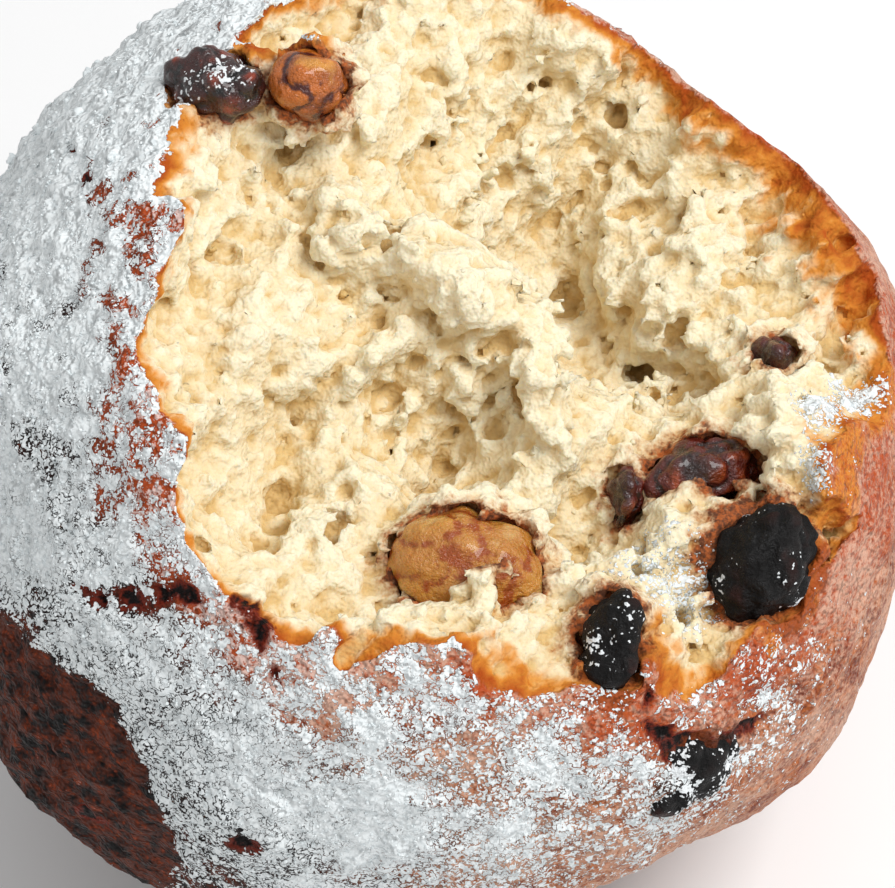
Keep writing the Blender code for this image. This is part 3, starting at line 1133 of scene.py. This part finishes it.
# %% [markdown]
# ## Loose sugar and crumbs
# A material alone leaves powder looking painted on. Real grains catch light and
# cast tiny shadows, so thousands are scattered over the ball with Distribute
# Points on Faces. Grains outside the powder's pattern are deleted, and the rest
# are small blobs of few faces, pushed out of round by noise once they are real.

# %% Tree of loose grains
UNIT_RADIUS = 0.5
GRAIN_RAGGEDNESS = 1.1
LUMPS_PER_GRAIN = 2.2
FLATTEST = (0.8, 0.8, 0.6)
TALLEST = (1.2, 1.2, 1.0)
FULL_TURN = (6.28, 6.28, 6.28)


def tree_grains():
    """Geometry Nodes tree: irregular grains lying on a mesh, in metres."""
    inputs = new_tree("loose_grains", {
        "Per Square Millimetre": 5.0, "Smallest": 0.2, "Largest": 0.4, "Segments": 4.0, "Rings": 2.0,
        "Threshold": 0.5, "Limit": 9.0, "Sink": 0.0, "On Crumb": 0.0, "Seed": 1.0}, takes_mesh=True)
    on_crumb = inputs["On Crumb"]
    crumb = ramp(named("depth"), 0.8, 2.0) * 0.85
    cover = named("sugar") * (1.0 - on_crumb) + crumb * on_crumb
    density = inputs["Per Square Millimetre"] * ramp(cover, -0.2, 0.2) * (1.0 / (MM * MM))
    spread = add_node("GeometryNodeDistributePointsOnFaces",
                      {"Mesh": inputs["Geometry"], "Density": density, "Seed": inputs["Seed"]})
    place = scaled(made("GeometryNodeInputPosition"), 1.0 / MM)
    mask = powder_mask(place, cover)
    bald = calc("LESS_THAN", mask, inputs["Threshold"])
    bald = calc("GREATER_THAN", mask, inputs["Limit"]) + bald
    points = made("GeometryNodeDeleteGeometry",
                  {"Geometry": Wire(spread.outputs[0]), "Selection": bald}, domain="POINT")
    grain = made("GeometryNodeMeshUVSphere",
                 {"Segments": inputs["Segments"], "Rings": inputs["Rings"], "Radius": UNIT_RADIUS * MM})
    chance = add_node("FunctionNodeRandomValue", {2: 0.0, 3: 1.0, "Seed": 3}, data_type="FLOAT")
    chance = Wire(chance.outputs[1])
    size = inputs["Smallest"] + (inputs["Largest"] - inputs["Smallest"]) * chance * chance
    points = store(points, size=size)
    sunk = scaled(Wire(spread.outputs["Normal"]), size * inputs["Sink"] * -MM)
    points = push(points, sunk)
    stretch = made("FunctionNodeRandomValue", {0: FLATTEST, 1: TALLEST, "Seed": 4},
                   data_type="FLOAT_VECTOR")
    turn = made("FunctionNodeRandomValue", {0: (0.0, 0.0, 0.0), 1: FULL_TURN, "Seed": 5},
                data_type="FLOAT_VECTOR")
    placed = made("GeometryNodeInstanceOnPoints",
                  {"Points": points, "Instance": grain, "Rotation": turn,
                   "Scale": scaled(stretch, named("size"))})
    mesh = made("GeometryNodeRealizeInstances", {"Geometry": placed})
    mesh = made("GeometryNodeSetShadeSmooth", {"Geometry": mesh})
    finer = scaled(place, calc("DIVIDE", LUMPS_PER_GRAIN, inputs["Largest"]))
    noise = add_node("ShaderNodeTexNoise", {"Vector": finer, "Scale": 1.0, "Detail": 1.0})
    shove = vector("SUBTRACT", Wire(noise.outputs["Color"]), (0.5, 0.5, 0.5))
    mesh = push(mesh, scaled(shove, named("size") * (GRAIN_RAGGEDNESS * MM)))
    return close_tree(mesh, inputs["Material"])


print("tree of loose grains ready")

# %% [markdown]
# ## Scattering the sugar
# Powder has grains of all sizes, and the fewest are the largest. So it is
# strewn four times: dust in the cracks and round the edges, grains, flakes,
# and a few clumps where it lies thickest. The density and the size keep each
# kind under two hundred thousand triangles.

# %% Scatter the sugar
DULL = 0.9


def material_powder(name, colour, tint):
    """Dull powder, a little uneven in colour."""
    material, shader = new_material(name)
    place = place_in_mm()
    shade = blend(ramp(clouds(place, 1.0, detail=3.0), -0.3, 0.3), colour, tint)
    feed(shader, {"Base Color": shade, "Roughness": DULL})
    return material


sugar_look = material_powder("powdered_sugar", SUGAR_SHADE, SUGAR_WHITE)
grain_tree = tree_grains()
# The columns of the table below, by the names of the tree's inputs.
COLUMNS = ("Smallest", "Largest", "Segments", "Rings", "Per Square Millimetre", "Threshold", "Limit", "Seed")
GRAINS = {
    "sugar_dust": (0.08, 0.17, 4, 2, 5.6, 0.36, 0.6, 11),
    "sugar_grains": (0.12, 0.26, 4, 2, 5.6, 0.46, 0.68, 12),
    "sugar_flakes": (0.18, 0.4, 5, 3, 2.0, 0.56, 0.8, 15),
    "sugar_clumps": (0.4, 1.1, 9, 6, 0.6, 1.0, 9.0, 13),
}
for name, row in GRAINS.items():
    values = dict(zip(COLUMNS, row), Material=sugar_look)
    grains = run_tree(name, grain_tree, values, start=dough.data.copy())
    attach(grains, "root")
print("kinds of grain:", list(GRAINS))

# %% [markdown]
# ## Loose crumbs
# Biting also leaves small bits lying on the torn face. The same tree strews
# them, larger, rounder and only on the crumb, and they take the dough's own
# material. No number is stored on them, so it colours them as skinless dough.

# %% Scatter the crumbs
crumb_values = {"Per Square Millimetre": 0.35, "Smallest": 0.35, "Largest": 0.9, "Segments": 7, "Rings": 5,
                "Threshold": 1.15, "Sink": 0.1, "On Crumb": 1.0, "Seed": 14, "Material": dough_look}
crumbs = run_tree("loose_crumbs", grain_tree, crumb_values, start=dough.data.copy())
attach(crumbs, "root")
print("crumbs are", crumb_values["Smallest"], "to", crumb_values["Largest"], "mm wide")

# %% [markdown]
# ## Camera
# The bite is seen head on and fills the view, from half above. A long lens from
# a third of a metre keeps the ball's outline from bulging. The camera's place
# is worked out from the ball's centre along its own three axes.

# %% Camera
VIEW_TILT = math.radians(48.0)
CAMERA_DISTANCE = 0.36
SENSOR_WIDTH = 36.0
NEAREST_SEEN = 0.01
VIEW_WIDTH = 0.07103
VIEW_SHIFT = (0.00258, 0.00127)
to_camera = Vector((0.0, -math.cos(VIEW_TILT), math.sin(VIEW_TILT)))
view_up = Vector((0.0, math.sin(VIEW_TILT), math.cos(VIEW_TILT)))
view_right = Vector((1.0, 0.0, 0.0))
target = BALL_CENTRE + view_right * VIEW_SHIFT[0] + view_up * VIEW_SHIFT[1]
camera_data = bpy.data.cameras.new("camera")
camera_data.sensor_width = SENSOR_WIDTH
camera_data.lens = SENSOR_WIDTH * CAMERA_DISTANCE / VIEW_WIDTH
camera_data.clip_start = NEAREST_SEEN
camera = add_object("camera", camera_data)
axes = Matrix((view_right, view_up, to_camera)).transposed().to_4x4()
camera.matrix_world = Matrix.Translation(target + to_camera * CAMERA_DISTANCE) @ axes
bpy.context.scene.camera = camera
print("camera at:", [round(c, 3) for c in camera.location])

# %% [markdown]
# ## Floor and light
# A pale floor and a white world give soft light from all sides, as under a
# cloudy sky. One large lamp from the upper right adds a direction, so that the
# holes in the crumb get a lit side and a shaded side.

# %% Floor and light
FLOOR_HALF = 1.0
FLOOR_WHITE = (0.93, 0.93, 0.93, 1.0)
SKY_WHITE = (1.0, 1.0, 1.0, 1.0)
SKY_STRENGTH = 0.6
LAMP_POWER = 1.9
LAMP_SIZE = 0.25
LAMP_DISTANCE = 0.5
corners = [(x * FLOOR_HALF, y * FLOOR_HALF, 0.0) for x, y in ((-1, -1), (1, -1), (1, 1), (-1, 1))]
floor_mesh = bpy.data.meshes.new("floor")
floor_mesh.from_pydata(corners, [], [(0, 1, 2, 3)])
floor = add_object("floor", floor_mesh)
floor_look, floor_shader = new_material("floor")
feed(floor_shader, {"Base Color": FLOOR_WHITE, "Roughness": DULL})
floor_mesh.materials.append(floor_look)

world = bpy.data.worlds.new("studio")
world.use_nodes = True
feed(world.node_tree.nodes["Background"].inputs, {"Color": SKY_WHITE, "Strength": SKY_STRENGTH})
bpy.context.scene.world = world
bpy.context.scene.view_settings.view_transform = "Standard"

to_lamp = view_right * 0.5 + view_up * 0.45 + to_camera * 0.75
lamp = bpy.data.lights.new("key", "AREA")
lamp.energy = LAMP_POWER
lamp.size = LAMP_SIZE
key = add_object("key", lamp)
key.location = BALL_CENTRE + to_lamp.normalized() * LAMP_DISTANCE
key.rotation_euler = (-to_lamp).to_track_quat("-Z", "Y").to_euler()
print("sky strength:", SKY_STRENGTH, "and lamp power:", LAMP_POWER)
